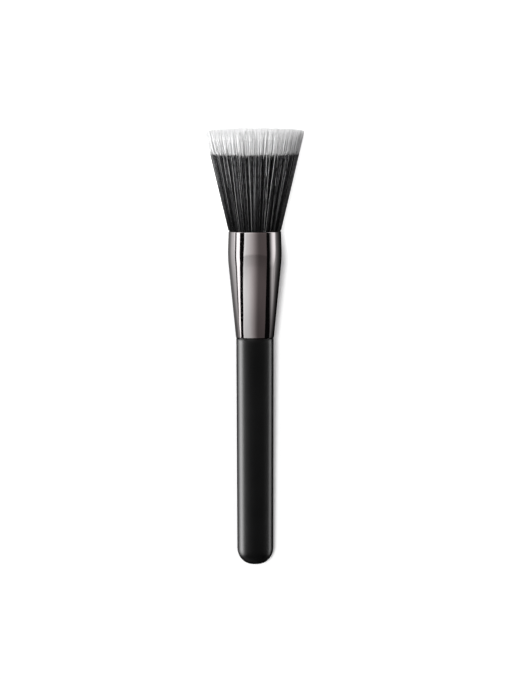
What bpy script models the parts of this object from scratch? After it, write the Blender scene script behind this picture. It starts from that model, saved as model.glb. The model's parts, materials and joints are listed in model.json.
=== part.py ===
"""A stippling brush, lying on a table as it is put down between uses.

Black turned handle, gunmetal ferrule, and a flared duo-fibre head: short dark fibres with longer
white fibres among them. Inside the ferrule, resin and a thread binding hold the fibre roots, and
glue holds the handle's tenon.

Every piece is modelled along the brush's own axis: z is 0 at the butt of the handle and runs up
to the fibre tips. An empty then lays the whole brush on the table. The row frame has the table at
z = 0, the head towards +Y, and the origin under the middle of the brush.
"""

import random
from math import asin, atan2, cos, hypot, pi, sin, sqrt, tau
from typing import NamedTuple

import bmesh
import bpy

MM = 0.001

# Gap that keeps neighbouring solids apart, how deep a join goes and how far a cut runs past
FIT_GAP = 0.3 * MM
JOIN_DEPTH = 0.6 * MM
OVERRUN = 0.6 * MM

# Handle, turned in one piece with its tenon
HANDLE_LENGTH = 85.0 * MM
HANDLE_TAIL_DIAMETER = 13.65 * MM
HANDLE_TOP_DIAMETER = 13.95 * MM
HANDLE_END_ROUND = 5.2 * MM
HANDLE_EDGE_ROUND = 0.3 * MM
TENON_LENGTH = 14.0 * MM
TENON_CHAMFER = 0.8 * MM

# Grooves turned in the tenon, which the glue keys into
GROOVE_COUNT = 3
GROOVE_WIDTH = 1.8 * MM
GROOVE_DEPTH = 0.9 * MM

# Ferrule, drawn from one metal tube: a long taper, a soft knee, and a slight draw-in to the mouth
FERRULE_LENGTH = 40.6 * MM
FERRULE_WALL = 0.45 * MM
FERRULE_TAIL_DIAMETER = 14.2 * MM
FERRULE_MOUTH_DIAMETER = 19.75 * MM
FERRULE_KNEE_SWELL = 0.3 * MM
FERRULE_KNEE_DEPTH = 9.6 * MM
FERRULE_KNEE_BEND = 7.0 * MM
FERRULE_LIP_ROUND = 0.3 * MM
FERRULE_TAIL_ROUND = 0.25 * MM

# Glue past the tenon's end, and the share of the hollow above it that the resin leaves empty
GLUE_RISE = 1.0 * MM
HOLLOW_SHARE = 0.45

# Knot: two slices of resin-set fibre roots, with a thread wound round the lower one
KNOT_DEPTH = 5.6 * MM
DARK_SLICE_THICKNESS = 2.0 * MM
WHITE_SLICE_THICKNESS = 3.2 * MM
WHITE_SLICE_RIM = 0.15 * MM
THREAD_DIAMETER = 0.6 * MM
THREAD_TURNS = 4

# Fibre head: a straight-sided fan from the mouth to a nearly flat top
HEAD_LENGTH = 38.0 * MM
HEAD_DIAMETER = 37.2 * MM
HEAD_CROWN = 0.8 * MM
DARK_LENGTH = 29.0 * MM
RAGGED_TIPS = 0.5 * MM

# Strands: each stands for a lock of fibres, narrow at its root and widest at its shoulder
STRAND_COUNT = 340
WHITE_EVERY = 2
STRAND_SIDES = 3
STRAND_TAPER = 1.8 * MM
STRAND_SEED = 7

# Distance between the closest strands, as a share of the radius that the strands fill
STRAND_PITCH_SHARE = 1.6 / sqrt(STRAND_COUNT)

# Strand sizes, as shares of the distance between the closest strands at the same height
ROOT_SHARE = 0.27
NECK_SHARE = 0.32
SHOULDER_SHARE = 0.55
PASSAGE_SHARE = 0.1
SPLAY_SHARE = 0.05

# How far the fibres give under the brush's own weight, and the height in which they close up
TABLE_PRESS = 0.5 * MM
TABLE_PRESS_BAND = 3.0 * MM

# Facets
TURNED_STEPS = 64
HIDDEN_STEPS = 40
END_STEPS = 7
EDGE_STEPS = 3
BEND_STEPS = 7
WALL_STEPS = 4
THREAD_STEPS = 4
SMOOTH_ANGLE = 0.6
WELD_DISTANCE = 0.002 * MM

# Places along the brush's axis
TENON_TOP_Z = HANDLE_LENGTH + TENON_LENGTH
GLUE_TOP_Z = TENON_TOP_Z + GLUE_RISE
MOUTH_Z = HANDLE_LENGTH + FERRULE_LENGTH
KNEE_Z = MOUTH_Z - FERRULE_KNEE_DEPTH
HEAD_Z = MOUTH_Z + HEAD_LENGTH
DARK_Z = MOUTH_Z + DARK_LENGTH
DARK_SLICE_TOP_Z = MOUTH_Z - KNOT_DEPTH
DARK_SLICE_BASE_Z = DARK_SLICE_TOP_Z - DARK_SLICE_THICKNESS
WHITE_SLICE_TOP_Z = DARK_SLICE_BASE_Z - FIT_GAP
WHITE_SLICE_BASE_Z = WHITE_SLICE_TOP_Z - WHITE_SLICE_THICKNESS
RESIN_TOP_Z = WHITE_SLICE_BASE_Z - FIT_GAP
RESIN_BASE_Z = GLUE_TOP_Z + (RESIN_TOP_Z - GLUE_TOP_Z) * HOLLOW_SHARE


def ferrule_radius(z):
    """Outer radius of the ferrule at a height: two cones that a quadratic curve joins over the knee."""
    tail, mouth = FERRULE_TAIL_DIAMETER / 2, FERRULE_MOUTH_DIAMETER / 2
    knee = mouth + FERRULE_KNEE_SWELL

    def taper(height):
        return tail + (knee - tail) * (height - HANDLE_LENGTH) / (KNEE_Z - HANDLE_LENGTH)

    def draw_in(height):
        return knee + (mouth - knee) * (height - KNEE_Z) / (MOUTH_Z - KNEE_Z)

    bend_start = KNEE_Z - FERRULE_KNEE_BEND / 2
    along = (z - bend_start) / FERRULE_KNEE_BEND
    if along <= 0:
        return taper(z)
    if along >= 1:
        return draw_in(z)
    start, end = taper(bend_start), draw_in(bend_start + FERRULE_KNEE_BEND)
    return (1 - along) ** 2 * start + 2 * along * (1 - along) * knee + along**2 * end


def bore_radius(z):
    """Inner radius of the ferrule at a height."""
    return ferrule_radius(z) - FERRULE_WALL


def fit_radius(z):
    """Radius at a height of what fits inside the ferrule."""
    return bore_radius(z) - FIT_GAP


def fan_radius(z):
    """Outer radius of the fibre head at a height. The same straight cone runs down into the ferrule."""
    mouth, head = fit_radius(MOUTH_Z), HEAD_DIAMETER / 2
    return mouth + (head - mouth) * (z - MOUTH_Z) / HEAD_LENGTH


# Radii of the tenon, of the knot's lower slice and of the thread round it
TENON_RADIUS = fit_radius(HANDLE_LENGTH)
WHITE_SLICE_RADIUS = fan_radius(WHITE_SLICE_TOP_Z) + WHITE_SLICE_RIM
THREAD_INNER_RADIUS = WHITE_SLICE_RADIUS + FIT_GAP

# Middle circle of the handle's rounded end, which touches the table
END_RADIUS = HANDLE_TAIL_DIAMETER / 2 - HANDLE_END_ROUND


def rest_tilt():
    """Angle of the brush to the table when the handle's end and the head's rim both touch it."""
    reach = HEAD_Z - HANDLE_END_ROUND
    rise = HEAD_DIAMETER / 2 - TABLE_PRESS - END_RADIUS
    return atan2(rise, reach) - asin(HANDLE_END_ROUND / hypot(rise, reach))


TILT = rest_tilt()
BUTT_HEIGHT = HANDLE_END_ROUND + END_RADIUS * cos(TILT) - HANDLE_END_ROUND * sin(TILT)


def butt_y():
    """Place of the butt along Y that puts the origin under the middle of the brush."""
    nearest = HANDLE_END_ROUND * cos(TILT) - END_RADIUS * sin(TILT) - HANDLE_END_ROUND
    farthest = HEAD_Z * cos(TILT) + HEAD_DIAMETER / 2 * sin(TILT)
    return -(nearest + farthest) / 2


def material(name, colour, roughness, metallic=0.0):
    """A Principled material of one plain colour."""
    made = bpy.data.materials.new(name)
    made.use_nodes = True
    shader = made.node_tree.nodes["Principled BSDF"]
    shader.inputs["Base Color"].default_value = (*colour, 1.0)
    shader.inputs["Roughness"].default_value = roughness
    shader.inputs["Metallic"].default_value = metallic
    made.diffuse_color = (*colour, 1.0)
    return made


def piece_from(bm, name, finish, axis):
    """An object from a bmesh, shaded smooth except over real edges, and carried by the brush's axis."""
    bmesh.ops.recalc_face_normals(bm, faces=bm.faces)
    mesh = bpy.data.meshes.new(name)
    bm.to_mesh(mesh)
    bm.free()
    mesh.shade_smooth()
    mesh.set_sharp_from_angle(angle=SMOOTH_ANGLE)
    mesh.materials.append(finish)
    piece = bpy.data.objects.new(name, mesh)
    bpy.context.scene.collection.objects.link(piece)
    piece.parent = axis
    return piece


def turned(name, outline, finish, axis, steps=HIDDEN_STEPS, ring=False):
    """A turned piece: an outline of (radius, z) points spun round the axis. A ring's outline is closed."""
    bm = bmesh.new()
    verts = [bm.verts.new((radius, 0.0, z)) for radius, z in outline]
    edges = [bm.edges.new(pair) for pair in zip(verts, verts[1:])]
    if ring:
        edges.append(bm.edges.new((verts[-1], verts[0])))
    bmesh.ops.spin(
        bm,
        geom=verts + edges,
        axis=(0.0, 0.0, 1.0),
        cent=(0.0, 0.0, 0.0),
        angle=tau,
        steps=steps,
        use_merge=True,
    )
    bmesh.ops.remove_doubles(bm, verts=bm.verts, dist=WELD_DISTANCE)
    return piece_from(bm, name, finish, axis)


def arc(radius, z, size, start, end, steps):
    """Points of an arc in an outline, round a middle at (radius, z), from one angle to another."""
    angles = [start + (end - start) * step / steps for step in range(steps + 1)]
    return [(radius + size * cos(angle), z + size * sin(angle)) for angle in angles]


def heights(low, high, steps):
    """Evenly spaced heights, both ends included."""
    return [low + (high - low) * step / steps for step in range(steps + 1)]


def groove_centres():
    """Heights of the tenon's grooves, each in the middle of an equal part of the tenon."""
    return [HANDLE_LENGTH + TENON_LENGTH * (n + 0.5) / GROOVE_COUNT for n in range(GROOVE_COUNT)]


def grooved_wall(radius, width, centres):
    """Outline points of a straight wall going up, with a square groove of one width at each centre."""
    points = []
    for centre in centres:
        low, high = centre - width / 2, centre + width / 2
        floor = radius - GROOVE_DEPTH
        points += [(radius, low), (floor, low), (floor, high), (radius, high)]
    return points


def make_handle(axis):
    """Handle: small flat butt, rounded end, slight straight taper, shoulder, and grooved tenon."""
    finish = material("black_lacquer", (0.011, 0.011, 0.012), 0.42)
    edge_z = HANDLE_LENGTH - HANDLE_EDGE_ROUND
    edge_radius = HANDLE_TOP_DIAMETER / 2 - HANDLE_EDGE_ROUND
    outline = [(0.0, 0.0)]
    outline += arc(END_RADIUS, HANDLE_END_ROUND, HANDLE_END_ROUND, -pi / 2, 0, END_STEPS)
    outline += arc(edge_radius, edge_z, HANDLE_EDGE_ROUND, 0, pi / 2, EDGE_STEPS)
    outline.append((TENON_RADIUS, HANDLE_LENGTH))
    outline += grooved_wall(TENON_RADIUS, GROOVE_WIDTH, groove_centres())
    outline.append((TENON_RADIUS, TENON_TOP_Z - TENON_CHAMFER))
    outline += [(TENON_RADIUS - TENON_CHAMFER, TENON_TOP_Z), (0.0, TENON_TOP_Z)]
    return turned("handle", outline, finish, axis, TURNED_STEPS)


def make_ferrule(axis):
    """Ferrule: one thin tube whose bore follows its outside, with a rounded edge at each end."""
    finish = material("gunmetal", (0.21, 0.20, 0.20), 0.14, metallic=1.0)
    tail_z = HANDLE_LENGTH + FIT_GAP
    low_z, high_z = tail_z + FERRULE_TAIL_ROUND, MOUTH_Z - FERRULE_LIP_ROUND
    tail_radius = ferrule_radius(low_z) - FERRULE_TAIL_ROUND
    lip_radius = ferrule_radius(high_z) - FERRULE_LIP_ROUND
    bend = heights(KNEE_Z - FERRULE_KNEE_BEND / 2, KNEE_Z + FERRULE_KNEE_BEND / 2, BEND_STEPS)
    outline = [(bore_radius(tail_z), tail_z)]
    outline += arc(tail_radius, low_z, FERRULE_TAIL_ROUND, -pi / 2, 0, EDGE_STEPS)
    outline += [(ferrule_radius(z), z) for z in bend]
    outline += arc(lip_radius, high_z, FERRULE_LIP_ROUND, 0, pi / 2, EDGE_STEPS)
    outline.append((bore_radius(MOUTH_Z), MOUTH_Z))
    outline += [(bore_radius(z), z) for z in reversed(bend)]
    return turned("ferrule", outline, finish, axis, TURNED_STEPS, ring=True)


def make_glue(axis):
    """Glue: a ring in the tenon's lowest groove, and above it a collar that fills the ferrule's taper."""
    finish = material("cured_glue", (0.62, 0.55, 0.38), 0.3)
    low_centre, *centres = groove_centres()
    wall_radius, width = TENON_RADIUS + FIT_GAP, GROOVE_WIDTH - 2 * FIT_GAP

    ends = (low_centre - width / 2, low_centre + width / 2)
    outline = [(fit_radius(z), z) for z in ends]
    outline += [(wall_radius - GROOVE_DEPTH, z) for z in reversed(ends)]
    turned("glue_ring", outline, finish, axis, ring=True)

    start = (low_centre + centres[0]) / 2
    outline = [(wall_radius, start), *grooved_wall(wall_radius, width, centres), (wall_radius, GLUE_TOP_Z)]
    outline += [(fit_radius(z), z) for z in heights(GLUE_TOP_Z, start, WALL_STEPS)]
    turned("glue_collar", outline, finish, axis, ring=True)


def make_resin_plug(axis):
    """Resin: a plug cast across the ferrule under the knot."""
    finish = material("clear_resin", (0.48, 0.36, 0.17), 0.18)
    wall = [(fit_radius(z), z) for z in heights(RESIN_BASE_Z, RESIN_TOP_Z, WALL_STEPS)]
    return turned("resin_plug", [(0.0, RESIN_BASE_Z), *wall, (0.0, RESIN_TOP_Z)], finish, axis)


def make_knot_thread(axis):
    """Thread: turns laid side by side round the lower slice, as one scalloped ring."""
    finish = material("binding_thread", (0.62, 0.58, 0.48), 0.8)
    height = THREAD_DIAMETER * THREAD_TURNS
    base = (WHITE_SLICE_TOP_Z + WHITE_SLICE_BASE_Z - height) / 2
    outline = [(THREAD_INNER_RADIUS, base + height), (THREAD_INNER_RADIUS, base)]
    middle_radius = THREAD_INNER_RADIUS + THREAD_DIAMETER / 2
    for turn in range(THREAD_TURNS):
        middle = base + THREAD_DIAMETER * (turn + 0.5)
        scallop = arc(middle_radius, middle, THREAD_DIAMETER / 2, -pi / 2, pi / 2, THREAD_STEPS)
        outline += scallop[1:] if turn else scallop
    return turned("knot_thread", outline, finish, axis, ring=True)


class Strand(NamedTuple):
    """One lock of fibres: its place in the fan, its colour, its tip's height, and its tip's lean."""

    radius_share: float
    angle: float
    is_white: bool
    tip_z: float
    lean: tuple


def make_strands():
    """All the strands, in the evenly filled spiral of a sunflower's seeds.

    Every strand runs out from one point far down the axis, so none crosses another. The spiral is
    followed inwards from a white strand at the rim, which points straight down at the table.
    """
    golden_angle = pi * (3 - sqrt(5))
    chance = random.Random(STRAND_SEED)
    strands = []
    for n in range(STRAND_COUNT):
        radius_share = sqrt(1 - n / STRAND_COUNT)
        is_white = n % WHITE_EVERY == 0
        crown = HEAD_CROWN * (1 - radius_share**2)
        tip_z = (HEAD_Z if is_white else DARK_Z) + crown + RAGGED_TIPS * chance.uniform(-1, 1)
        splay = SPLAY_SHARE * STRAND_PITCH_SHARE * fan_radius(tip_z)
        lean = (splay * chance.uniform(-1, 1), splay * chance.uniform(-1, 1))
        strands.append(Strand(radius_share, pi / 2 + golden_angle * n, is_white, tip_z, lean))
    return strands


def off_the_table(x, y, z):
    """The same point, with the fibres nearest the table closed up so that none reaches into it."""
    height = BUTT_HEIGHT + z * sin(TILT) - y * cos(TILT)
    if height >= TABLE_PRESS_BAND:
        return x, y, z
    lifted = (height + TABLE_PRESS) * TABLE_PRESS_BAND / (TABLE_PRESS_BAND + TABLE_PRESS)
    return x, y - (lifted - height) / cos(TILT), z


def strand_section(strand, z, share):
    """Corners of one strand at a height, the first of them facing outwards. A share of 0 gives one point.

    The middles move in by as much as the strands are thick, so that the outermost stay in the fan.
    """
    reach = fan_radius(z) / (1 + share * STRAND_PITCH_SHARE)
    bend = max(0.0, (z - MOUTH_Z) / (strand.tip_z - MOUTH_Z))
    x = strand.radius_share * reach * cos(strand.angle) + strand.lean[0] * bend
    y = strand.radius_share * reach * sin(strand.angle) + strand.lean[1] * bend
    if not share:
        return [off_the_table(x, y, z)]
    radius = share * STRAND_PITCH_SHARE * reach
    corners = [strand.angle + tau * side / STRAND_SIDES for side in range(STRAND_SIDES)]
    return [off_the_table(x + radius * cos(c), y + radius * sin(c), z) for c in corners]


def add_prism(bm, sections):
    """A closed strand from its sections, each of as many corners, ending in a flat face or in one point."""
    rings = [[bm.verts.new(corner) for corner in section] for section in sections]
    bm.faces.new(rings[0][::-1])
    for low, high in zip(rings, rings[1:]):
        for n, corner in enumerate(low):
            beside = low[(n + 1) % len(low)]
            if len(high) == 1:
                bm.faces.new((corner, beside, high[0]))
            else:
                bm.faces.new((corner, beside, high[(n + 1) % len(high)], high[n]))
    if len(rings[-1]) > 1:
        bm.faces.new(rings[-1])


def helper(bm, name, finish, axis):
    """A hidden object that only cuts or joins."""
    made = piece_from(bm, name, finish, axis)
    made.hide_render = True
    made.display_type = "WIRE"
    return made


def prisms_helper(name, strands, stations_of, finish, axis):
    """A helper with one prism for each strand, through the heights and shares that stations_of gives."""
    bm = bmesh.new()
    for strand in strands:
        add_prism(bm, [strand_section(strand, z, share) for z, share in stations_of(strand)])
    return helper(bm, name, finish, axis)


def dark_stations(strand):
    """A dark strand widens from its root to its shoulder, then tapers to its tip."""
    root = (DARK_SLICE_TOP_Z - JOIN_DEPTH, ROOT_SHARE)
    shoulder = (strand.tip_z - STRAND_TAPER, SHOULDER_SHARE)
    return [root, shoulder, (strand.tip_z, 0)]


def white_stations(strand):
    """A white strand keeps narrow among the dark ones, and widens past their tips."""
    root = (WHITE_SLICE_TOP_Z - JOIN_DEPTH, ROOT_SHARE)
    neck = (DARK_Z - STRAND_TAPER, NECK_SHARE)
    shoulder = (strand.tip_z - STRAND_TAPER, SHOULDER_SHARE)
    return [root, neck, shoulder, (strand.tip_z, 0)]


def passage_stations(_):
    """The way that a white strand takes through the dark strands' slice."""
    # A prism's sides move out by less than its corners do
    share = ROOT_SHARE + PASSAGE_SHARE / cos(pi / STRAND_SIDES)
    return [(DARK_SLICE_BASE_Z - FIT_GAP / 2, share), (DARK_SLICE_TOP_Z + OVERRUN, share)]


def boolean(piece, other, operation):
    """Cuts the other object from the piece, or joins it on."""
    made = piece.modifiers.new(other.name, "BOOLEAN")
    made.operation = operation
    made.object = other
    made.solver = "EXACT"


def make_dark_fibres(strands, axis):
    """Dark fibres: strands fused to the knot's upper slice, which the white strands pass through."""
    finish = material("dark_fibre", (0.012, 0.012, 0.013), 0.45)
    wall = [(fit_radius(z), z) for z in (DARK_SLICE_BASE_Z, DARK_SLICE_TOP_Z)]
    outline = [(0.0, DARK_SLICE_BASE_Z), *wall, (0.0, DARK_SLICE_TOP_Z)]
    piece = turned("dark_fibres", outline, finish, axis)
    white = [strand for strand in strands if strand.is_white]
    dark = [strand for strand in strands if not strand.is_white]
    boolean(piece, prisms_helper("white_passages", white, passage_stations, finish, axis), "DIFFERENCE")
    boolean(piece, prisms_helper("dark_strands", dark, dark_stations, finish, axis), "UNION")


def make_white_fibres(strands, axis):
    """White fibres: longer strands fused to the knot's lower slice."""
    finish = material("white_fibre", (0.82, 0.82, 0.83), 0.4)
    wall = [(WHITE_SLICE_RADIUS, z) for z in (WHITE_SLICE_BASE_Z, WHITE_SLICE_TOP_Z)]
    outline = [(0.0, WHITE_SLICE_BASE_Z), *wall, (0.0, WHITE_SLICE_TOP_Z)]
    piece = turned("white_fibres", outline, finish, axis)
    white = [strand for strand in strands if strand.is_white]
    boolean(piece, prisms_helper("white_strands", white, white_stations, finish, axis), "UNION")


def main():
    for old in list(bpy.data.objects):
        bpy.data.objects.remove(old)
    axis = bpy.data.objects.new("brush_axis", None)
    bpy.context.scene.collection.objects.link(axis)
    axis.rotation_euler = (TILT - pi / 2, 0.0, 0.0)
    axis.location = (0.0, butt_y(), BUTT_HEIGHT)
    make_handle(axis)
    make_ferrule(axis)
    make_glue(axis)
    make_resin_plug(axis)
    make_knot_thread(axis)
    strands = make_strands()
    make_dark_fibres(strands, axis)
    make_white_fibres(strands, axis)


if __name__ == "__main__":
    main()
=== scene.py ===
"""Looks of a stippling brush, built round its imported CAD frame.

The brush lies on a white table, with its head towards +Y: a satin black handle, a gunmetal ferrule,
and a flared head of short dark fibres with longer white fibres among them. Every new piece is worked
out along the brush's own axis, where z is 0 at the butt and runs up to the fibre tips, and the butt
face's mount then lays it in the frame. Lengths are in metres, and angles in radians unless a name or
a comment says degrees.
"""

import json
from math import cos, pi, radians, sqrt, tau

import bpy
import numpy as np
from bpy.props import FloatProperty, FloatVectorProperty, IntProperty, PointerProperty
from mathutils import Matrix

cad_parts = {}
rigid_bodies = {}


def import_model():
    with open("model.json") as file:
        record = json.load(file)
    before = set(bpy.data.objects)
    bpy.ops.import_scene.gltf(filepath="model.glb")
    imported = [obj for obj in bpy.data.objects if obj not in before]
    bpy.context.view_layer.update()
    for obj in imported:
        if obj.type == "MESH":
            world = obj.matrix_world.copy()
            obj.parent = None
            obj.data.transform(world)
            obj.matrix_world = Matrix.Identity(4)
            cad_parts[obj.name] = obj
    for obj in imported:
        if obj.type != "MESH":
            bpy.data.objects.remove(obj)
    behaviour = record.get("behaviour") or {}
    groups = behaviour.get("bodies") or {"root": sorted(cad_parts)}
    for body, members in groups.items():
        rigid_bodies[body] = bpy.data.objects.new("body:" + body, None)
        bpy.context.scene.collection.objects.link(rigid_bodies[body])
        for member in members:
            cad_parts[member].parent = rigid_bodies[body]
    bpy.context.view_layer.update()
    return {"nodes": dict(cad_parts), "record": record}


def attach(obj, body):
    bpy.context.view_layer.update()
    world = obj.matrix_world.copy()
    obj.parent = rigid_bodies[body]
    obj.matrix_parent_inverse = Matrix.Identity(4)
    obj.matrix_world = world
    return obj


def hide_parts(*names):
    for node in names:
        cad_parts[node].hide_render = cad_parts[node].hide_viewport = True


bl_info = {
    "name": "Stippling Brush",
    "version": (1, 0, 0),
    "blender": (4, 5, 0),
    "location": "View3D > Sidebar > Brush",
    "description": "Builds the looks of a stippling brush round its CAD frame",
    "category": "Object",
}

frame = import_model()
BODY = "root"
MM = 0.001

# The butt face's mount gives the brush's origin and the way back along its axis
MOUNT = frame["record"]["mounts"][0]
ORIGIN = np.array(MOUNT["pos_m"])
AXIS = -np.array(MOUNT["axis"])
SIDE = np.array((1, 0, 0))
TILT = np.arctan2(AXIS[2], AXIS[1])
TO_FRAME = np.array((SIDE, np.cross(AXIS, SIDE), AXIS))

GOLDEN_ANGLE = pi * (3 - sqrt(5))
SHARP_ANGLE = radians(40)

# Fibres: how far the roots reach into their slice, and the outermost ones' clearance in the ferrule
ROOT_REACH = 0.6 * MM
FIBRE_GAP = 0.05 * MM

# Share of their slice's radius that the white roots take up
ROOT_COVER = 0.9

# Resins and glue: deep and pale colour, roughness, and the scale and depth of their bubbles
CASTS = {
    "root_resin": ((0.10, 0.08, 0.05), (0.20, 0.16, 0.10), 0.3, 900, 0.03 * MM),
    "cured_glue_skin": ((0.50, 0.43, 0.28), (0.68, 0.61, 0.44), 0.32, 1300, 0.02 * MM),
    "amber_resin": ((0.36, 0.25, 0.10), (0.55, 0.42, 0.22), 0.2, 700, 0.04 * MM),
}

# Seeds of the random draws
DARK_LOCK_SEED = 11
WHITE_LOCK_SEED = 12
DARK_SEEDS = (21, 22, 23)
WHITE_SEEDS = (31, 32)
STREAK_SEED = 41

# Where the reflectors begin and end along the brush, in millimetres
CARD_ENDS = (-300, 350)

# How far the reflectors' edges have turned towards the ferrule's tail, at places along the brush
TURN_PLACES = np.array((-38, -26, -22, -17, -13, -6, 3, 11, 24, 36)) * MM
LINE_TURNS = (0.7, 1.1, 1.1, 1.1, 0.85, 0.42, 0.2, 0.04, 0.05, 0)
LEFT_TURNS = (0.7, 1.1, 1.13, 1.12, 0.84, 0.58, 0.22, 0.04, 0.05, 0)
TOP_TURNS = (0.66, 1.1, 1.12, 1.02, 0.76, 0.6, 0.3, 0.2, 0.115, 0)
RIGHT_TURNS = (0.7, 1.1, 1.12, 1.12, 0.87, 0.47, 0.2, 0.04, 0.05, 0)
FAR_TURNS = (0.7, 1.1, 1.12, 1.12, 0.87, 0.47, 0.15, -0.15, -0.05, 0)

# Edges of the reflectors from left to right: degrees at the mouth and at the tail, and turns
CARD_EDGES = (
    (-99, -127, LINE_TURNS),
    (-86, -114, LINE_TURNS),
    (-68, -96, LEFT_TURNS),
    (-46, -72, TOP_TURNS),
    (52, 62, TOP_TURNS),
    (64, 96, RIGHT_TURNS),
    (102, 133, FAR_TURNS),
)

# The reflectors between those edges
TENT_CARDS = ("left_wall", "left_strip", "left_flag", "overhead_card", "right_flag", "right_card")

# Flat reflectors in millimetres: near and far beside the brush, low and high along it, and the height
FLOOR_CARDS = {
    "left_floor": (-7.5, -98, *CARD_ENDS, 0.3),
    "right_floor": (7.5, 220, *CARD_ENDS, 0.3),
    "butt_flag": (-12, 12, -110, -84, 0.6),
}

# Strength of a black flag, and of each other reflector: the product of numbers and of profiles, which
# say what the function profile takes: a point value, its unit, the stops, and True for a smooth rise
FLAG_GLOW = 0.004
CARD_GLOWS = {
    # A dim wall with a black line beside the strip
    "left_wall": (
        ("across", 1, ((0, 0.88), (0.3, 0.88), (0.45, 0), (1, 0))),
        ("along", MM, ((-60, 0.75), (3, 0.8), (13, 1.1), (28, 1.2), (38, 1.6))),
    ),
    "left_strip": (2.34,),
    # Bright on the left and dark on the right, with a shadow line where the ferrule's knee reflects it
    "overhead_card": (
        ("seen", 1, ((-50, 1.33), (22, 0.13)), True),
        ("across", 1, ((0, 1.3), (0.1, 1), (1, 1))),
        ("along", MM, (
            (-60, 0.03), (-44, 0.05), (-40, 1.1), (-35, 1.1), (-30, 0.68), (-24, 0.73), (-12, 0.96),
            (-4, 1), (3, 0.8), (20, 0.66), (22.5, 1), (39, 1), (45, 1.35), (90, 1.35),
        )),
    ),
    # A soft-edged band that fades towards the ferrule's tail
    "right_card": (
        ("across", 1, ((0, 0), (0.7, 1.85)), True),
        ("across", 1, ((0.8, 1), (1.15, 0)), True),
        ("along", MM, (
            (-20, 0.04), (-15, 0.07), (-10, 0.14), (-3, 0.25), (5, 0.37), (11, 0.44), (24, 0.86),
            (37, 1),
        )),
    ),
    # The table as the ferrule's left side reflects it, with the brush's shadow painted in: dark near
    # the brush, darker beside the handle
    "left_floor": (
        ("across", MM, ((14, 0.24), (20, 0.21), (25, 0.24), (32, 0.41), (43, 0.8), (65, 1))),
        ("along", MM, ((2, 0.55), (10, 0.8), (20, 0.85), (35, 0.97), (60, 1))),
    ),
    # The table as the right side reflects it: it lies in the brush's shadow
    "right_floor": (
        ("across", MM, (
            (16, 0), (25, 0.018), (33, 0.045), (44, 0.11), (67, 0.25), (98, 0.45), (220, 0.6),
        )),
        ("along", MM, ((-14, 0.4), (-3, 0.9), (3, 1.5), (8, 1.7), (16, 1.1), (30, 1), (60, 1))),
    ),
    # Two strips in the dark, a broad one on the left and a narrow one on the right, up to the butt
    "handle_sleeve": (
        11,
        ("seen", 1, (
            (-178, 0), (-142, 0.01), (-130, 0.05), (-119, 0.28), (-109, 0.72), (-102, 0.96), (-95, 1),
            (-87, 0.62), (-77, 0.21), (-67, 0.08), (-50, 0.035), (-30, 0.01), (0, 0.004), (50, 0.008),
            (84, 0.03), (98, 0.08), (105, 0.26), (111, 0.39), (117, 0.25), (122, 0.002), (178, 0),
        )),
        ("along", MM, ((-25, 0.03), (-1, 0.03), (4, 1), (83.5, 1), (84.2, 1.3), (85, 1.3))),
    ),
}

# Lamps: strength, then spread, azimuth from -X towards +Y, and elevation in degrees
LAMPS = {
    "table_light": (2.2, 9.5, 0, 83.8),
    "key_light": (1.8, 10, 0, 66),
    "side_light": (2.9, 50, 12, 41),
    "tip_light": (1.8, 50, 25, 66),
    "front_light": (0.4, 20, 80, 24),
}


def length(name, description, size):
    """A length, given in millimetres and shown in the user's unit."""
    return FloatProperty(
        name=name, description=description, default=size * MM, min=0, unit="LENGTH", precision=5
    )


def share(name, description, value):
    """A share from 0 to 1."""
    return FloatProperty(name=name, description=description, default=value, min=0, max=1)


def colour(name, description, value):
    """A colour in linear red, green and blue."""
    return FloatVectorProperty(
        name=name, description=description, default=value, size=3, min=0, max=1, subtype="COLOR"
    )


def count(name, description, value):
    """A whole number of things."""
    return IntProperty(name=name, description=description, default=value, min=1)


class HandleSettings(bpy.types.PropertyGroup):
    """Turned wooden handle in black lacquer."""

    length: length("Length", "From the butt to the shoulder", 85.2)
    tail_diameter: length("Tail diameter", "Across the rounded end", 13.58)
    top_diameter: length("Top diameter", "Across the shoulder under the ferrule", 14.05)
    end_round: length("End round", "Width of the rounding at the end", 5.5)
    end_depth: length("End depth", "Length of the rounding at the end", 6.3)
    edge_round: length("Edge round", "Radius of the shoulder's edge", 0.1)
    tenon_length: length("Tenon length", "Part that the ferrule holds", 14)
    neck_length: length("Neck length", "Part of the tenon that fills the ferrule's tail", 0.6)
    neck_gap: length("Neck gap", "Clearance of the neck in the ferrule", 0.03)
    lacquer: colour("Lacquer", "Colour of the lacquer", (0.0034, 0.0034, 0.0035))
    gloss: share("Roughness", "Roughness of the lacquer", 0.31)


class FerruleSettings(bpy.types.PropertyGroup):
    """Drawn metal ferrule with a soft knee."""

    length: length("Length", "From the handle's shoulder to the mouth", 40.25)
    wall: length("Wall", "Thickness of the tube", 0.45)
    tail_diameter: length("Tail diameter", "Across the end on the handle", 14.2)
    mouth_diameter: length("Mouth diameter", "Across the end that holds the fibres", 19.75)
    knee_swell: length("Knee swell", "Radius of the knee past the mouth's", 0.3)
    knee_depth: length("Knee depth", "From the mouth to the knee", 9.6)
    knee_bend: length("Knee bend", "Length over which the knee bends", 7)
    lip_round: length("Lip round", "Radius of the mouth's edge", 0.3)
    tail_round: length("Tail round", "Radius of the tail's edge", 0.3)
    gap: length("Gap", "Clearance to what the ferrule holds", 0.3)
    tail_gap: length("Tail gap", "From the handle's shoulder to the tail", 0.2)
    metal: colour("Metal", "Colour of the anodised metal", (0.47, 0.44, 0.443))
    gloss: share("Roughness", "Roughness of the polish", 0.065)


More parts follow.
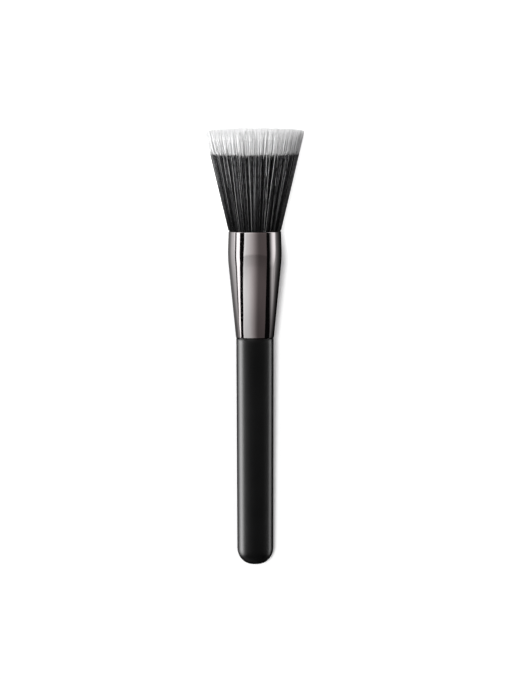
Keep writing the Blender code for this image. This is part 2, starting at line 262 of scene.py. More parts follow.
class HeadSettings(bpy.types.PropertyGroup):
    """Flared head of dark and white fibres, and the knot that holds them."""

    length: length("Length", "From the ferrule's mouth to the white tips", 38)
    diameter: length("Diameter", "Across the white tips", 37.72)
    spill_length: length("Spill length", "Height in which the fibres spill over the lip", 0.15)
    crown: length("Crown", "Rise of the tips from the rim to the middle", 0.8)
    dark_length: length("Dark length", "From the mouth to the dark tips", 28.75)
    ragged: length("Ragged tips", "How much the tips vary in height", 0.55)
    stray: length("Stray tips", "How far the longest dark fibres stand out", 3)
    press: length("Press", "How far the table pushes the lowest fibres up", 0.75)
    press_band: length("Press band", "Height in which the fibres close up", 3)
    knot_depth: length("Knot depth", "From the mouth to the knot", 5.6)
    dark_slice: length("Dark slice", "Thickness of the dark roots' resin", 2)
    white_slice: length("White slice", "Thickness of the white roots' resin", 3.2)
    fibre: length("Fibre", "Thickness of a fibre", 0.13)
    dark_count: count("Dark fibres", "Fibres in each dark piece", 6000)
    white_count: count("White fibres", "Fibres in each white piece", 5200)
    streak_count: count("White streaks", "White strands on the dark fibres' surface", 56)
    dark_locks: count("Dark locks", "Locks that the dark fibres gather in", 3600)
    white_locks: count("White locks", "Locks that the white fibres gather in", 1900)
    dark: colour("Dark", "Colour of the dark fibres", (0.012, 0.012, 0.0125))
    white: colour("White", "Colour of the white fibres", (0.94, 0.94, 0.945))


class StudioSettings(bpy.types.PropertyGroup):
    """Table, lights, reflectors and camera."""

    table: colour("Table", "Colour of the white table", (0.88, 0.88, 0.88))
    surround: share("Surround", "How strongly the surround lights the object", 0.32)
    tent_radius: length("Tent radius", "From the ferrule's axis to the reflectors", 100)
    camera_height: length("Camera height", "From the table to the camera", 1500)
    camera_side: length("Camera side", "From the brush's middle line to the camera", 0.015)
    camera_along: length("Camera along", "From the origin towards the head", 2.15)
    camera_roll: FloatProperty(
        name="Camera roll", description="Turn of the picture", default=-radians(0.1), unit="ROTATION"
    )
    lens: FloatProperty(name="Lens", description="Focal length in mm", default=209.6)


class BrushSettings(bpy.types.PropertyGroup):
    """All the settings of the brush."""

    handle: PointerProperty(type=HandleSettings)
    ferrule: PointerProperty(type=FerruleSettings)
    head: PointerProperty(type=HeadSettings)
    studio: PointerProperty(type=StudioSettings)


class Places:
    """The scene's settings, and places along the brush's axis and radii worked out from them."""

    def __init__(self, context):
        settings = context.scene.stippling_brush
        handle, ferrule, head = settings.handle, settings.ferrule, settings.head
        self.handle, self.ferrule, self.head, self.studio = handle, ferrule, head, settings.studio
        self.shoulder_z = handle.length
        self.tenon_top_z = handle.length + handle.tenon_length
        self.tail_z = handle.length + ferrule.tail_gap
        self.mouth_z = handle.length + ferrule.length
        self.knee_z = self.mouth_z - ferrule.knee_depth
        self.head_z = self.mouth_z + head.length
        self.dark_z = self.mouth_z + head.dark_length
        self.dark_slice_z = self.mouth_z - head.knot_depth
        self.white_slice_z = self.dark_slice_z - head.dark_slice - ferrule.gap

    def ferrule_radius(self, z):
        """Two cones, tail to knee and knee to mouth, joined by a quadratic curve over the knee."""
        ferrule = self.ferrule
        tail, mouth = ferrule.tail_diameter / 2, ferrule.mouth_diameter / 2
        knee, bend = mouth + ferrule.knee_swell, ferrule.knee_bend
        z = np.asarray(z, float)

        def taper(height):
            return tail + (knee - tail) * (height - self.shoulder_z) / (self.knee_z - self.shoulder_z)

        def draw_in(height):
            return knee + (mouth - knee) * (height - self.knee_z) / (self.mouth_z - self.knee_z)

        start = self.knee_z - bend / 2
        along = np.clip((z - start) / bend, 0, 1)
        curve = (1 - along) ** 2 * taper(start) + 2 * along * (1 - along) * knee
        curve += along**2 * draw_in(start + bend)
        return np.where(z < start, taper(z), np.where(z > start + bend, draw_in(z), curve))

    def bore_radius(self, z):
        """Inner radius of the ferrule."""
        return self.ferrule_radius(z) - self.ferrule.wall

    def fit_radius(self, z):
        """Radius of what fits inside the ferrule."""
        return self.bore_radius(z) - self.ferrule.gap

    def fan_radius(self, z):
        """Outer radius of the head: a cone from the ferrule's lip to the white tips.

        It is drawn in to the bore up to the mouth, and above it by exp(-height / spill length) of that.
        """
        lip, tip = self.ferrule.mouth_diameter / 2, self.head.diameter / 2
        height = z - self.mouth_z
        spill = np.exp(-np.maximum(0, height) / self.head.spill_length)
        drawn_in = (lip - self.bore_radius(self.mouth_z) + FIBRE_GAP) * spill
        return lip + (tip - lip) * height / self.head.length - drawn_in


def smooth(low, high, value):
    """0 up to low, 1 from high, and a smooth cubic rise between them."""
    x = np.clip((value - low) / (high - low), 0, 1)
    return x * x * (3 - 2 * x)


# Meshes


def laid(points):
    """Points along the brush's axis, laid in the frame: turned by the mount's axis, and moved to it."""
    return points @ TO_FRAME + ORIGIN


def triangle_mesh(name, points, triangles, corner_uv=None, uv_name="Surface", **values):
    """A smooth mesh from points and triangles, with a UV for each corner and values for each point."""
    mesh = bpy.data.meshes.new(name)
    mesh.vertices.add(len(points))
    mesh.vertices.foreach_set("co", points.astype(np.float32).ravel())
    mesh.loops.add(3 * len(triangles))
    mesh.loops.foreach_set("vertex_index", triangles.astype(np.int32).ravel())
    mesh.polygons.add(len(triangles))
    mesh.polygons.foreach_set("loop_start", np.arange(0, 3 * len(triangles), 3, dtype=np.int32))
    if corner_uv is not None:
        layer = mesh.uv_layers.new(name=uv_name)
        layer.data.foreach_set("uv", corner_uv.astype(np.float32).ravel())
    for attribute, value in values.items():
        made = mesh.attributes.new(attribute, "FLOAT", "POINT")
        made.data.foreach_set("value", value.astype(np.float32).ravel())
    mesh.update()
    mesh.shade_smooth()
    return mesh


def grid_triangles(ids):
    """Triangles of a grid of point numbers, seen from where columns run right and rows run up."""
    a, b, c, d = ids[:-1, :-1], ids[:-1, 1:], ids[1:, 1:], ids[1:, :-1]
    return np.concatenate([np.stack(corners, -1).reshape(-1, 3) for corners in ((a, b, c), (a, c, d))])


def stacked(*coordinates):
    """A grid of points from their coordinates, any of which may be the same along a row or column."""
    return np.stack(np.broadcast_arrays(*coordinates), -1)


def sheet_mesh(name, points, **values):
    """A mesh of a grid of points with values, any of which may be the same along a row or column."""
    shape = points.shape[:2]
    values = {key: np.broadcast_to(value, shape) for key, value in values.items()}
    ids = np.arange(points[..., 0].size).reshape(shape)
    return triangle_mesh(name, points.reshape(-1, 3), grid_triangles(ids), **values)


def arc(radius, height, size, start, end, steps, rise=None):
    """Outline points (radius + size cos a, height + rise sin a) of a round, for a from start to end."""
    angle = np.linspace(start, end, steps + 1)
    return np.stack((radius + size * np.cos(angle), height + (rise or size) * np.sin(angle)), 1)


def turned_mesh(name, outline, steps=256, ring=False):
    """Surface of revolution: outline point (r, z) at turn t goes to (r cos t, r sin t, z).

    The outline runs up the outside. A ring's outline is closed. Its UV is the share of the turn and
    the share of the outline.
    """
    outline = np.vstack([np.reshape(part, (-1, 2)) for part in outline])
    if ring:
        outline = np.vstack((outline, outline[:1]))
    radius, height = outline.T
    turn = np.linspace(0, tau, steps + 1)
    points = stacked(np.outer(radius, np.cos(turn)), np.outer(radius, np.sin(turn)), height[:, None])
    run = np.append(0, np.cumsum(np.hypot(*np.diff(outline, axis=0).T)))
    uv = np.stack(np.meshgrid(turn / tau, run / run[-1]), 2).reshape(-1, 2)

    # The last column is the first one, a pole is one point, and a ring's last row is its first one
    ids = np.arange(points[..., 0].size).reshape(len(outline), -1)
    same = ids.copy()
    same[:, -1] = same[:, 0]
    same[radius == 0] = same[radius == 0][:, :1]
    if ring:
        same[-1] = same[0]
    corners = grid_triangles(ids)
    triangles = same.ravel()[corners]
    whole = (triangles != np.roll(triangles, 1, 1)).all(1)
    used, triangles = np.unique(triangles[whole], return_inverse=True)
    points = laid(points.reshape(-1, 3)[used])
    mesh = triangle_mesh(name, points, triangles.reshape(-1, 3), uv[corners[whole]])
    mesh.set_sharp_from_angle(angle=SHARP_ANGLE)
    return mesh


def put(data):
    """A new object for a mesh, lamp or camera, with its name."""
    made = bpy.data.objects.new(data.name, data)
    bpy.context.scene.collection.objects.link(made)
    return made


def add_piece(mesh, finish, replaced):
    """A finished piece of the brush, which rides on its body and stands for the CAD node replaced."""
    mesh.materials.append(finish)
    piece = put(mesh)
    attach(piece, BODY)
    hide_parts(replaced)


# Shader nodes


def feed(tree, socket, value):
    """A socket set to a value, or linked to an output."""
    if isinstance(value, bpy.types.NodeSocket):
        tree.links.new(value, socket)
    else:
        socket.default_value = value


def set_inputs(tree, node, inputs):
    """Each named input of a node set to a value, or linked to an output."""
    for name, value in inputs.items():
        feed(tree, node.inputs[name], value)


def add(tree, kind, inputs=None, **settings):
    """A new shader node of a kind, with its settings and inputs."""
    node = tree.nodes.new(f"ShaderNode{kind}")
    for name, value in settings.items():
        setattr(node, name, value)
    set_inputs(tree, node, inputs or {})
    return node


def calculate(tree, operation, first, second):
    """The output of one sum on two numbers."""
    return add(tree, "Math", {0: first, 1: second}, operation=operation).outputs[0]


def product(tree, first, *others):
    """The output of numbers multiplied together."""
    for other in others:
        first = calculate(tree, "MULTIPLY", first, other)
    return first


def blend(tree, factor, first, second):
    """The output of a mix of two colours."""
    node = add(tree, "Mix", data_type="RGBA")
    for name, value in (("Factor", factor), ("A", first), ("B", second)):
        # A mix has a socket of each name for every type of data, and only the colour's are enabled
        sockets = [socket for socket in node.inputs if socket.name == name and socket.enabled]
        feed(tree, sockets[0], value)
    return next(socket for socket in node.outputs if socket.enabled)


def remap(tree, value, low, high, to_low, to_high, interpolation="LINEAR"):
    """The output of a map range."""
    inputs = {"Value": value, "From Min": low, "From Max": high, "To Min": to_low, "To Max": to_high}
    return add(tree, "MapRange", inputs, interpolation_type=interpolation).outputs["Result"]


def noise(tree, vector, scale, detail, roughness=0.5):
    """The output of a noise texture."""
    inputs = {"Vector": vector, "Scale": scale, "Detail": detail, "Roughness": roughness}
    return add(tree, "TexNoise", inputs).outputs["Fac"]


def finished(name, look, *values):
    """A material whose Principled shader has the inputs that a look works out in its tree."""
    made = bpy.data.materials.new(name)
    made.use_nodes = True
    tree = made.node_tree
    set_inputs(tree, tree.nodes["Principled BSDF"], look(tree, *values))
    return made


def bare_material(name):
    """A new material and its empty node tree."""
    made = bpy.data.materials.new(name)
    made.use_nodes = True
    made.node_tree.nodes.clear()
    return made, made.node_tree


def new_group(name, inputs, outputs):
    """An empty node group with its sockets: the group, its input node and its output node."""
    group = bpy.data.node_groups.new(name, "ShaderNodeTree")
    for in_out, sockets in (("INPUT", inputs), ("OUTPUT", outputs)):
        for socket, kind in sockets.items():
            group.interface.new_socket(name=socket, in_out=in_out, socket_type=f"NodeSocket{kind}")
    return group, group.nodes.new("NodeGroupInput"), group.nodes.new("NodeGroupOutput")


def put_group(tree, name, build, inputs):
    """The outputs of a node group placed in a material. The group is built when it is first used."""
    group = bpy.data.node_groups.get(name) or build(name)
    return add(tree, "Group", inputs, node_tree=group).outputs


def surface_marks(name):
    """Group: cloudy smudges and fine pits of a handled surface, as a mask and a height."""
    inputs = {"Vector": "Vector", "Smudge Scale": "Float", "Pit Scale": "Float"}
    group, given, out = new_group(name, inputs, {"Mask": "Float", "Height": "Float"})
    vector = given.outputs["Vector"]
    smudge = noise(group, vector, given.outputs["Smudge Scale"], 6, 0.6)
    pits = noise(group, vector, given.outputs["Pit Scale"], 3)
    group.links.new(remap(group, smudge, 0.35, 0.65, 0, 1), out.inputs["Mask"])
    group.links.new(pits, out.inputs["Height"])
    return group


def marks(tree, vector, smudge_scale, pit_scale):
    """The surface marks placed in a material: their mask and height."""
    inputs = {"Vector": vector, "Smudge Scale": smudge_scale, "Pit Scale": pit_scale}
    outputs = put_group(tree, "surface_marks", surface_marks, inputs)
    return outputs["Mask"], outputs["Height"]


def along_axis(tree, scale=(1, 1, 1)):
    """Object coordinates turned to the brush's axis and scaled: across, along and down."""
    coordinates = add(tree, "TexCoord").outputs["Object"]
    inputs = {"Vector": coordinates, "Rotation": (-TILT, 0, 0), "Scale": scale}
    return add(tree, "Mapping", inputs).outputs["Vector"]


def bump(tree, height, strength, distance):
    """The normal of a bump."""
    inputs = {"Height": height, "Strength": strength, "Distance": distance}
    return add(tree, "Bump", inputs).outputs["Normal"]


def rgba(value, factor=1):
    """A colour setting as four numbers, made lighter or darker by a factor."""
    return (*(channel * factor for channel in value), 1)


def lacquer_look(tree, settings):
    """Satin black lacquer: faint smudges in its gloss, and a sprayed coat's very shallow dimples."""
    smudge, dimples = marks(tree, along_axis(tree), 70, 1100)
    return {
        "Base Color": blend(tree, smudge, rgba(settings.lacquer, 0.9), rgba(settings.lacquer, 1.25)),
        "Roughness": remap(tree, smudge, 0, 1, settings.gloss - 0.015, settings.gloss + 0.02),
        "Normal": bump(tree, dimples, 0.12, 0.02 * MM),
        "Specular IOR Level": 0.35,
    }


def gunmetal_look(tree, settings):
    """Polished gunmetal: drawing marks along the tube, and faint smudges in the anodising."""
    smudge, drawn = marks(tree, along_axis(tree, (1, 0.03, 1)), 260, 5200)
    return {
        "Base Color": blend(tree, smudge, rgba(settings.metal, 0.96), rgba(settings.metal, 1.04)),
        "Roughness": remap(tree, drawn, 0.3, 0.7, settings.gloss - 0.01, settings.gloss + 0.015),
        "Normal": bump(tree, drawn, 0.02, 0.002 * MM),
        "Metallic": 1,
    }


def fibre_tone(name):
    """Group: a fibre's colour from its own tone, which wavers along it, and from a point's reach. The
    tone carries painted glints on dark fibres and painted shade between white locks, and painted shade
    darkens the colour towards the roots.
    """
    inputs = {"Root": "Color", "Deep": "Color", "Pale": "Color", "Power": "Float", "Waver": "Float"}
    group, given, out = new_group(name, inputs, {"Color": "Color", "Mask": "Float"})
    tone, reach = attribute(group, "tone"), attribute(group, "reach")

    # The noise changes from each tone to the next, and about 22 times along a fibre, so that the
    # painted glints and painted shade break up along it
    spot = {"X": product(group, tone, 300), "Y": product(group, reach, 22)}
    spot = add(group, "CombineXYZ", spot).outputs["Vector"]
    waver = remap(group, noise(group, spot, 1, 0), 0.3, 0.7, -1, 1)
    waver = calculate(group, "ADD", product(group, waver, given.outputs["Waver"]), 1)
    wavered = product(group, waver, tone)
    body = blend(group, wavered, given.outputs["Deep"], given.outputs["Pale"])
    # Painted shade: the colour runs from the root's to the body's as the reach to a power
    rise = calculate(group, "POWER", reach, given.outputs["Power"])
    group.links.new(blend(group, rise, given.outputs["Root"], body), out.inputs["Color"])
    group.links.new(tone, out.inputs["Mask"])
    return group


def fibre_look(tree, root, deep, pale, power, waver, roughness, specular):
    """Synthetic fibre: each fibre has a tone of its own, which carries painted glints or painted shade,
    and painted shade darkens it towards the roots.
    """
    inputs = {"Root": root, "Deep": deep, "Pale": pale, "Power": power, "Waver": waver}
    outputs = put_group(tree, "fibre_tone", fibre_tone, inputs)
    return {
        "Base Color": outputs["Color"],
        "Roughness": remap(tree, outputs["Mask"], 0, 1, roughness - 0.05, roughness + 0.05),
        "Specular IOR Level": specular,
    }


def cast_look(tree, deep, pale, roughness, bubble_scale, depth):
    """Cured resin or glue: cloudy colour and a skin with small bubbles in it."""
    coordinates = along_axis(tree)
    cloud, _ = marks(tree, coordinates, bubble_scale / 3, bubble_scale)
    inputs = {"Vector": coordinates, "Scale": bubble_scale}
    cells = add(tree, "TexVoronoi", inputs).outputs["Distance"]
    bubbles = remap(tree, cells, 0.05, 0.25, 0, 1, "SMOOTHSTEP")
    return {
        "Base Color": blend(tree, cloud, rgba(deep), rgba(pale)),
        "Roughness": remap(tree, cloud, 0, 1, roughness - 0.06, roughness + 0.06),
        "Normal": bump(tree, bubbles, 0.5, depth),
    }


def thread_look(tree):
    """Waxed thread: two plies twisted round each other, so that slanting lines cross each turn."""
    inputs = {"Vector": along_axis(tree), "Scale": 420, "Distortion": 1.5, "Detail": 2}
    twist = add(tree, "TexWave", inputs, bands_direction="DIAGONAL").outputs["Fac"]
    return {
        "Base Color": blend(tree, twist, (0.44, 0.40, 0.31, 1), (0.68, 0.64, 0.53, 1)),
        "Roughness": remap(tree, twist, 0, 1, 0.6, 0.8),
        "Normal": bump(tree, twist, 0.7, 0.05 * MM),
    }


# Handle, ferrule and knot


def handle_mesh(places):
    """The handle's outline: flat butt, round end, straight taper, rounded shoulder, grooved tenon."""
    handle = places.handle
    tail = handle.tail_diameter / 2 - handle.end_round
    top = handle.top_diameter / 2 - handle.edge_round
    tenon = places.fit_radius(handle.length)
    neck = places.bore_radius(places.tail_z) - handle.neck_gap
    neck_z = handle.length + handle.neck_length
    chamfer, groove_width, groove_depth, grooves = 0.8 * MM, 1.8 * MM, 0.9 * MM, 3
    centres = handle.length + handle.tenon_length * (np.arange(grooves) + 0.5) / grooves
    bottom = tenon - groove_depth
    groove = np.array(((tenon, -0.5), (bottom, -0.5), (bottom, 0.5), (tenon, 0.5)))
    outline = [
        (0, 0),
        arc(tail, handle.end_depth, handle.end_round, -pi / 2, 0, 40, handle.end_depth),
        arc(top, handle.length - handle.edge_round, handle.edge_round, 0, pi / 2, 8),
        (neck, handle.length),
        (neck, neck_z),
        (tenon, neck_z),
        *[groove * (1, groove_width) + (0, centre) for centre in centres],
        (tenon, places.tenon_top_z - chamfer),
        (tenon - chamfer, places.tenon_top_z),
        (0, places.tenon_top_z),
    ]
    return turned_mesh("lacquered_handle", outline)


def ferrule_mesh(places):
    """The ferrule's outline: rounded tail, taper, knee, draw-in, rounded lip, and back in the bore."""
    ferrule = places.ferrule
    low, high = places.tail_z + ferrule.tail_round, places.mouth_z - ferrule.lip_round
    tail, mouth = places.ferrule_radius(low), places.ferrule_radius(high)
    wall = np.linspace(low, high, 90)[1:-1]
    bore = np.linspace(places.mouth_z, places.tail_z, 60)
    outline = [
        arc(tail - ferrule.tail_round, low, ferrule.tail_round, -pi / 2, 0, 8),
        np.stack((places.ferrule_radius(wall), wall), 1),
        arc(mouth - ferrule.lip_round, high, ferrule.lip_round, 0, pi / 2, 8),
        np.stack((places.bore_radius(bore), bore), 1),
    ]
    return turned_mesh("gunmetal_ferrule", outline, ring=True)


def slice_mesh(name, base, top, base_radius, top_radius):
    """A slice of resin across the ferrule: a short cone from its base to its top."""
    outline = [(0, base), (base_radius, base), (top_radius, top), (0, top)]
    return turned_mesh(name, outline, 96)


# Fibres


def spiral(number, power=0.5):
    """A disc filled by a sunflower's spiral.

    Point n is at radius ((n + 1/2) / number) ** power, n golden angles round. A power under 1/2
    crowds the points outwards.
    """
    n = np.arange(number)
    radius = ((n + 0.5) / number) ** power
    return np.stack((radius * np.cos(GOLDEN_ANGLE * n), radius * np.sin(GOLDEN_ANGLE * n)), 1)


def off_the_table(points, head):
    """Points near the table closed up, so that the lowest, which would lie in it, just touch it.

    A height h under the press band b goes to (h + press) b / (b + press).
    """
    press, band = head.press, head.press_band
    height = laid(points)[..., 2]
    lifted = (height + press) * band / (band + press)
    points[..., 1] -= np.where(height < band, lifted - height, 0) / cos(TILT)
    return points


class Locks:
    """Locks that fibres gather in. Each has a middle, a pull on them, a drift, a tone and a stagger."""

    def __init__(self, number, chance):
        # The outermost middles lie just past the outermost fibres
        self.middles = 1.02 * spiral(number)
        self.pull = chance.uniform(0.1, 0.6, number)
        self.drift = chance.normal(0, 0.008, (number, 2))
        # A lock's tone sets the painted shade of white locks and the painted glints of dark ones
        self.tone = chance.uniform(0, 1, number)
        self.stagger = chance.uniform(-1, 1, number)

    def of(self, spots):
        """The number of the lock nearest each spot, worked out for a few hundred spots at a time."""
        found = []
        for part in np.array_split(spots, 16):
            found.append(np.linalg.norm(part[:, None] - self.middles, axis=2).argmin(1))
        return np.concatenate(found)


def fibre_piece(name, places, locks, chance, spots, lock, heights, widths, cover, tones):
    """Three-sided tubes that run out from the knot in a straight fan and gather in locks at their tips.

    A fibre has a spot in the unit disc, a lock and a tone. Each of its stations has a height, a width
    as a share of a whole fibre, and a cover, which is a factor on its distance from the axis. Corner k
    of a station is its centre plus the fibre's radius at the fibre's own angle plus k thirds of a turn.
    """
    head = places.head
    number, stations = heights.shape
    grown = smooth(places.mouth_z, places.head_z, heights)[..., None]
    pulled = locks.pull[lock, None] * (locks.middles[lock] - spots) + locks.drift[lock]
    shares = (spots[:, None] + grown * pulled[:, None]) * cover[..., None]
    over = np.maximum(1, np.linalg.norm(shares, axis=2, keepdims=True))
    radius = head.fibre / 2 * np.array(widths)[:, None]
    middle = shares / over * (places.fan_radius(heights)[..., None] - radius)
    turn = chance.uniform(0, tau, (number, 1, 1)) + tau / 3 * np.arange(3)
    across, up = middle[..., :1] + radius * np.cos(turn), middle[..., 1:] + radius * np.sin(turn)
    points = laid(off_the_table(stacked(across, up, heights[..., None]), head)).reshape(-1, 3)

    # Two triangles for each side between stations, and one for each end
    ids = np.arange(number * stations * 3).reshape(number, stations, 3)
    low, high = ids[:, :-1], ids[:, 1:]
    low_next, high_next = np.roll(low, -1, 2), np.roll(high, -1, 2)
    triangles = [
        np.stack((low, low_next, high_next), -1).reshape(-1, 3),
        np.stack((low, high_next, high), -1).reshape(-1, 3),
        ids[:, 0, ::-1],
        ids[:, -1],
    ]
    triangles = np.concatenate(triangles)
    tone = np.broadcast_to(np.clip(tones, 0, 1)[:, None, None], ids.shape)
    # A point's reach sets how much painted shade darkens it towards the roots
    start = places.dark_slice_z
    reach = np.clip((heights - start) / (places.head_z - start), 0, 1)
    reach = np.broadcast_to(reach[..., None], ids.shape)

    # Every fibre's map lies over the others at its own tone, so that a bake gives each the right colour
    side_width = 0.004
    u = (0.02 + 0.95 * tone + side_width * np.arange(3)).ravel()[triangles]
    v = (0.02 + 0.96 * reach).ravel()[triangles] + np.array((0, 0, side_width / 2))
    return triangle_mesh(name, points, triangles, np.stack((u, v), 2), "OFBake", tone=tone, reach=reach)


def tip_heights(top, spots, stagger, places, chance):
    """Heights of the tips: a crown over the middle, with each lock's and each fibre's own stagger."""
    lowered = 0.05 * MM
    crown = places.head.crown * (1 - (spots**2).sum(1))
    own = chance.uniform(-1, 1, len(spots))
    return top + crown - lowered + places.head.ragged * (0.6 * stagger + 0.5 * own)


def stations_to(tips, heights, taper):
    """Heights of the stations: the same for all fibres up to the taper, which then ends at each tip."""
    fixed = np.broadcast_to(heights, (len(tips), len(heights)))
    return np.hstack((fixed, tips[:, None] - taper, tips[:, None]))


def dark_fibre_mesh(name, places, locks, chance):
    """Short dark fibres, which fill the whole fan. A few stray tips stand past the rest."""
    head, mouth = places.head, places.mouth_z
    number = head.dark_count
    spots = spiral(number, 0.46) + chance.normal(0, 0.01, (number, 2))
    lock = locks.of(spots)
    tips = tip_heights(places.dark_z, spots, locks.stagger[lock], places, chance)
    tips += head.stray * chance.uniform(0, 1, number) ** 22
    fixed = (places.dark_slice_z - ROOT_REACH, mouth, mouth + 0.4 * MM, mouth + 11 * MM)
    heights = stations_to(tips, fixed, 1.8 * MM)
    widths = (0.8, 1, 1, 1, 1, 0.35)
    # A fibre's tone sets how much painted glint it carries: few dark fibres get much
    tones = (0.15 + 2.4 * locks.tone[lock] ** 2) * chance.uniform(0, 1, number) ** 3
    cover = np.ones(heights.shape)
    return fibre_piece(name, places, locks, chance, spots, lock, heights, widths, cover, tones)


def white_fibre_mesh(name, places, locks, chance):
    """Long white fibres: they run just under the dark ones, and spread to the fan's edge past them."""
    head, mouth, dark = places.head, places.mouth_z, places.dark_z
    number = head.white_count
    spots = spiral(number, 0.48) + chance.normal(0, 0.01, (number, 2))
    lock = locks.of(spots)
    tips = tip_heights(places.head_z, spots, locks.stagger[lock], places, chance)
    low, high = dark - 3 * MM, dark + 1.5 * MM
    fixed = (places.white_slice_z - ROOT_REACH, mouth, mouth + 14 * MM, low, high)
    heights = stations_to(tips, fixed, 5 * MM)
    widths = (0.8, 0.9, 0.9, 0.95, 0.95, 0.9, 0.1)
    under = 0.89
    cover = under + (1 - under) * smooth(low, high, heights)
    cover[:, 0] = ROOT_COVER
    # Darker locks are painted shade between the locks
    tones = 1 - 0.5 * locks.tone[lock] ** 6 - 0.12 * chance.uniform(0, 1, number) ** 3
    return fibre_piece(name, places, locks, chance, spots, lock, heights, widths, cover, tones)


def add_fibres(kind, mesh_of, seeds, places, locks, finish):
    """Pieces of dark or white fibres, one for each seed."""
    for n, seed in enumerate(seeds):
        mesh = mesh_of(f"{kind}_fibres_{n + 1}", places, locks, np.random.default_rng(seed))
        add_piece(mesh, finish, f"{kind}_fibres")


def streak_mesh(name, places, chance):
    """White fibres that come up through the dark surface, in strands of three that stray a little."""
    mouth, dark = places.mouth_z, places.dark_z
    number, fibres = places.head.streak_count, 3
    angle = tau * (np.arange(number) + chance.uniform(-0.4, 0.4, number)) / number
    locks = Locks(number, chance)
    locks.middles = np.stack((np.cos(angle), np.sin(angle)), 1)
    locks.pull[:] = 1
    locks.drift[:] = 0
    lock = np.repeat(np.arange(number), fibres)
    stray = np.repeat(chance.normal(0, 0.05, number), fibres)
    stray += chance.normal(0, 0.004, fibres * number)
    spots = np.stack((np.cos(angle[lock] + stray), np.sin(angle[lock] + stray)), 1)
    tips = tip_heights(places.head_z, spots, locks.stagger[lock], places, chance)
    start = places.white_slice_z - ROOT_REACH
    fixed = (start, mouth, mouth + 0.4 * MM, mouth + 11 * MM, dark + 1 * MM)
    heights = stations_to(tips, fixed, 4 * MM)
    widths = (0.8, 0.9, 0.9, 0.95, 0.95, 0.9, 0.2)
    depth = chance.uniform(0, 0.02, number)[lock, None]
    cover = 1 - depth * (1 - smooth(mouth, dark, heights))
    cover[:, 0] = ROOT_COVER
    tones = chance.uniform(0.3, 1, number)[lock] ** 2
    return fibre_piece(name, places, locks, chance, spots, lock, heights, widths, cover, tones)


# Reflectors


def card_mesh(name, edges, places):
    """A reflector: part of a long tube round the brush. The ferrule shows its edges at set angles.

    The angles are counted from straight up. An edge has one beside the ferrule's mouth and one beside
    its tail, and its turns are the shares of the way between them at TURN_PLACES. A ray from above
    that leaves the ferrule, of radius r, at angle b meets the tube, of radius R, at angle
    a = b - asin(r sin(b / 2) / R), at (R sin a, y, h + R cos a). The radius r goes from the mouth's
    to the tail's with TOP_TURNS.
    """
    radius, height = places.studio.tent_radius, 15 * MM
    along = np.linspace(*CARD_ENDS, 201)[:, None] * MM
    across = np.linspace(0, 1, 49)[None]

    def turned(mouth, tail, turns):
        return mouth + (tail - mouth) * np.interp(along, TURN_PLACES, turns)

    first, second = (turned(*edge) for edge in edges)
    seen = np.radians(first + (second - first) * across)
    ferrule = turned(places.ferrule.mouth_diameter / 2, places.ferrule.tail_diameter / 2, TOP_TURNS)
    angle = seen - np.arcsin(ferrule * np.sin(seen / 2) / radius)
    points = stacked(radius * np.sin(angle), along, height + radius * np.cos(angle))
    return sheet_mesh(name, points, seen=np.degrees(seen), along=along, across=across)


def sleeve_mesh(name, places):
    """A reflector close round the handle: a tube of radius R, closed by a dome past the butt.

    A ray from above that leaves the handle, of radius r, at angle b meets the tube at angle
    a = b - asin(r sin(b / 2) / R), as in card_mesh. Round the butt and past it the angles that it
    counts are smaller, so that its strips bend and the highlights run straight to the rounded end.
    """
    handle = places.handle.top_diameter / 2
    sleeve, dome = handle + 3.5 * MM, 25 * MM
    height = np.linspace(-dome, places.handle.length - 0.4 * MM, 111)[:, None]
    seen = np.radians(np.linspace(-178, 178, 179))[None]
    angle = seen - np.arcsin(handle * np.sin(seen / 2) / sleeve)
    radius = sleeve * np.sqrt(1 - np.clip(-height / dome, 0, 1) ** 2)
    points = stacked(radius * np.sin(angle), -radius * np.cos(angle), height)
    bend = 1 - 0.12 * (1 - smooth(-3 * MM, 6 * MM, height))
    return sheet_mesh(name, laid(points), seen=np.degrees(seen) * bend, along=height)


def floor_card_mesh(name, near, far, low, high, height):
    """A flat reflector over the table, from near to far beside the brush and low to high along it."""
    along, place = np.linspace(low, high, 81)[:, None], np.linspace(near, far, 41)
    return sheet_mesh(name, stacked(place, along, height), along=along, across=np.abs(place))


def attribute(tree, name):
    """A point value of the mesh."""
    return add(tree, "Attribute", attribute_name=name).outputs["Fac"]


def profile(tree, measure, unit, stops, smoothly=False):
    """A level read off stops, each a place on a point value of the mesh, in a unit, and a level.

    Straight lines join the stops, or a smooth cubic rise joins two of them.
    """
    value = attribute(tree, measure)
    first, last = stops[0][0] * unit, stops[-1][0] * unit
    if smoothly:
        return remap(tree, value, first, last, stops[0][1], stops[1][1], "SMOOTHSTEP")
    node = add(tree, "ValToRGB", {"Fac": remap(tree, value, first, last, 0, 1)})
    elements = node.color_ramp.elements
    for place, level in stops[1:-1]:
        elements.new((place * unit - first) / (last - first)).color = (level, level, level, 1)
    for element, level in ((elements[0], stops[0][1]), (elements[-1], stops[-1][1])):
        element.color = (level, level, level, 1)
    return node.outputs["Color"]


def glow(name, *factors):
    """A white light-giving finish. Its strength is the product of numbers and profiles."""
    made, tree = bare_material(name)
    factors = [profile(tree, *each) if isinstance(each, tuple) else each for each in factors]
    emission = add(tree, "Emission", {"Strength": product(tree, *factors)})
    add(tree, "OutputMaterial", {"Surface": emission.outputs["Emission"]})
    return made


def tint_overhead(finish):
    """The overhead card's light made neutral on the left, and plum on the right."""
    tree = finish.node_tree
    side = remap(tree, attribute(tree, "seen"), -40, 30, 0, 1)
    tint = blend(tree, side, (0.965, 1, 0.995, 1), (1.17, 1, 1, 1))
    feed(tree, tree.nodes["Emission"].inputs["Color"], tint)


# Stage


def add_to_stage(data):
    """A new object for the stage's table, lamps and reflectors, put in the scene."""
    made = put(data)
    return made


def add_card(mesh, finish):
    """A reflector that only reflections see."""
    mesh.materials.append(finish)
    made = add_to_stage(mesh)
    for ray in ("camera", "diffuse", "transmission", "shadow"):
        setattr(made, f"visible_{ray}", False)
    return made


